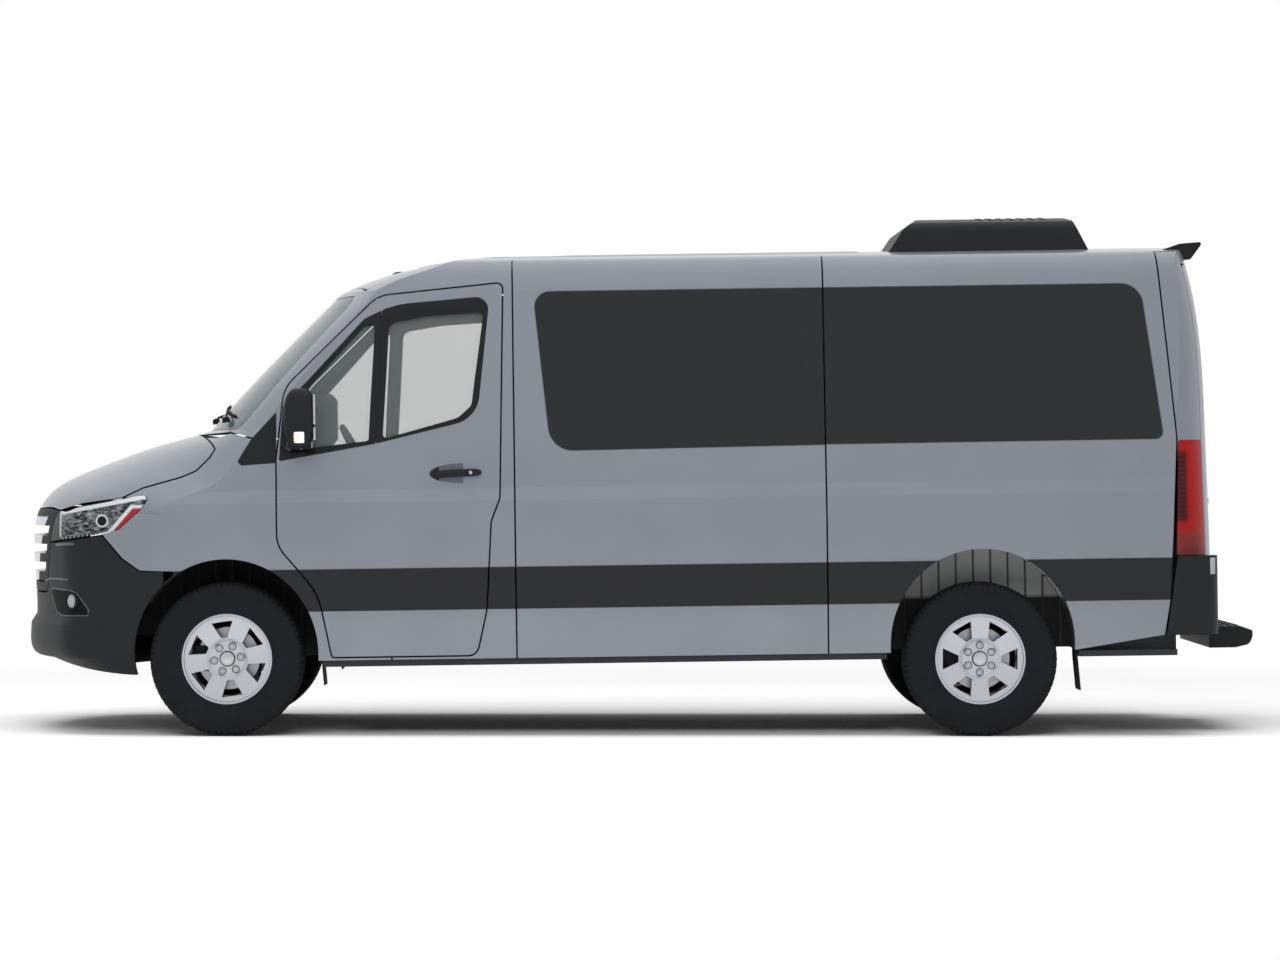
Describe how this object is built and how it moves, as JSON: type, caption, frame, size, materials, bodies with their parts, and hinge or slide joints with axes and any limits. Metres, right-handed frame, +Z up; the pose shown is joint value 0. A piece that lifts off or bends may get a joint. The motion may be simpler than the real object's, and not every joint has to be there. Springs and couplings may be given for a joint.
{
  "type": "low-roof passenger van",
  "caption": "Low-roof passenger van with swinging cab and rear doors, tilting bonnet, steered front wheels, seat rows, rear step and roof cooling unit.",
  "frame": {"origin": "on the ground under the middle of the van", "axes": "+X towards the front, +Y to the van's left, +Z up"},
  "size_m": [6.1003, 2.3422, 2.5634],
  "materials": {
    "body_paint": "metallic gloss",
    "black_plastic": "grained",
    "gloss_black": "gloss",
    "lamp_clear": "clear",
    "lamp_red": "gloss",
    "privacy_glass": "tinted",
    "clear_glass": "clear",
    "tyre_rubber": "matte",
    "wheel_alloy": "satin",
    "chassis": "matte",
    "seat_cloth": "woven",
    "trim_grey": "grained",
    "liner_felt": "matte",
    "exhaust_steel": "dull"
  },
  "bodies": {
    "body": {"arch_liners": "liner_felt", "cab_frame": "body_paint", "dashboard": "trim_grey", "engine": "chassis", "exhaust": "exhaust_steel", "fenders": "body_paint", "floor": "black_plastic", "front_bumper": "black_plastic", "front_seats": "seat_cloth", "front_suspension": "chassis", "fuel_tank": "black_plastic", "grille": "gloss_black", "headlamps": "lamp_clear", "mudflaps": "black_plastic", "rear_axle": "chassis", "rear_bumper": "black_plastic", "rear_corners": "body_paint", "rear_seats": "seat_cloth", "rear_step": "black_plastic", "roof": "body_paint", "roof_air_conditioner": "black_plastic", "roof_spoiler": "gloss_black", "seat_frames": "trim_grey", "side_glass_left": "privacy_glass", "side_glass_right": "privacy_glass", "side_panel_left_front": "body_paint", "side_panel_left_rear": "body_paint", "side_panel_right_rear": "body_paint", "sliding_door": "body_paint", "tail_lamps": "lamp_red", "windscreen": "clear_glass"},
    "front_left_wheel": {"tyre_front_left": "tyre_rubber", "rim_front_left": "wheel_alloy"},
    "front_right_wheel": {"tyre_front_right": "tyre_rubber", "rim_front_right": "wheel_alloy"},
    "rear_left_wheel": {"tyre_rear_left": "tyre_rubber", "rim_rear_left": "wheel_alloy"},
    "rear_right_wheel": {"tyre_rear_right": "tyre_rubber", "rim_rear_right": "wheel_alloy"},
    "left_knuckle": {"knuckle_left": "chassis"},
    "right_knuckle": {"knuckle_right": "chassis"},
    "left_front_door": {"front_door_left": "body_paint", "front_door_glass_left": "clear_glass", "mirror_left": "black_plastic"},
    "right_front_door": {"front_door_right": "body_paint", "front_door_glass_right": "clear_glass", "mirror_right": "black_plastic"},
    "left_rear_door": {"rear_door_left": "body_paint", "rear_door_glass_left": "privacy_glass"},
    "right_rear_door": {"rear_door_right": "body_paint", "rear_door_glass_right": "privacy_glass"},
    "hood": {"bonnet": "body_paint"},
    "steering": {"steering_wheel": "black_plastic"}
  },
  "joints": [
    {"name": "front_left_wheel_spin", "type": "hinge", "parent": "left_knuckle", "child": "front_left_wheel", "pos_m": [1.997, 0.855, 0.375], "axis": [0, 1, 0], "continuous": true},
    {"name": "front_right_wheel_spin", "type": "hinge", "parent": "right_knuckle", "child": "front_right_wheel", "pos_m": [1.997, -0.855, 0.375], "axis": [0, 1, 0], "continuous": true},
    {"name": "rear_left_wheel_spin", "type": "hinge", "parent": "body", "child": "rear_left_wheel", "pos_m": [-1.668, 0.855, 0.375], "axis": [0, 1, 0], "continuous": true},
    {"name": "rear_right_wheel_spin", "type": "hinge", "parent": "body", "child": "rear_right_wheel", "pos_m": [-1.668, -0.855, 0.375], "axis": [0, 1, 0], "continuous": true},
    {"name": "steering_wheel_turn", "type": "hinge", "parent": "body", "child": "steering", "pos_m": [1.3704, 0.43, 1.33884], "axis": [-0.8763, 0, 0.4818], "range_deg": [-560, 560]},
    {"name": "left_steer", "type": "hinge", "parent": "body", "child": "left_knuckle", "pos_m": [1.997, 0.76, 0.375], "axis": [0, 0, 1], "range_deg": [-35, 35]},
    {"name": "right_steer", "type": "hinge", "parent": "body", "child": "right_knuckle", "pos_m": [1.997, -0.76, 0.375], "axis": [0, 0, 1], "range_deg": [-35, 35]},
    {"name": "left_front_door_swing", "type": "hinge", "parent": "body", "child": "left_front_door", "pos_m": [1.74794, 1.01, 1.30357], "axis": [-0.014, 0, -0.9999], "range_deg": [0, 70]},
    {"name": "right_front_door_swing", "type": "hinge", "parent": "body", "child": "right_front_door", "pos_m": [1.74794, -1.01, 1.30357], "axis": [0.014, 0, 0.9999], "range_deg": [0, 70]},
    {"name": "left_rear_door_swing", "type": "hinge", "parent": "body", "child": "left_rear_door", "pos_m": [-2.79662, 0.832, 1.36703], "axis": [-0.0452, 0, -0.999], "range_deg": [0, 90]},
    {"name": "right_rear_door_swing", "type": "hinge", "parent": "body", "child": "right_rear_door", "pos_m": [-2.79662, -0.832, 1.36703], "axis": [0.0452, 0, 0.999], "range_deg": [0, 90]},
    {"name": "bonnet_lift", "type": "hinge", "parent": "body", "child": "hood", "pos_m": [2.03215, 0, 1.45961], "axis": [0, -1, 0], "range_deg": [0, 50]}
  ],
  "couplings": [
    {"joint": "left_steer", "follows": "steering_wheel_turn", "ratio": 0.0625},
    {"joint": "right_steer", "follows": "steering_wheel_turn", "ratio": 0.0625}
  ]
}
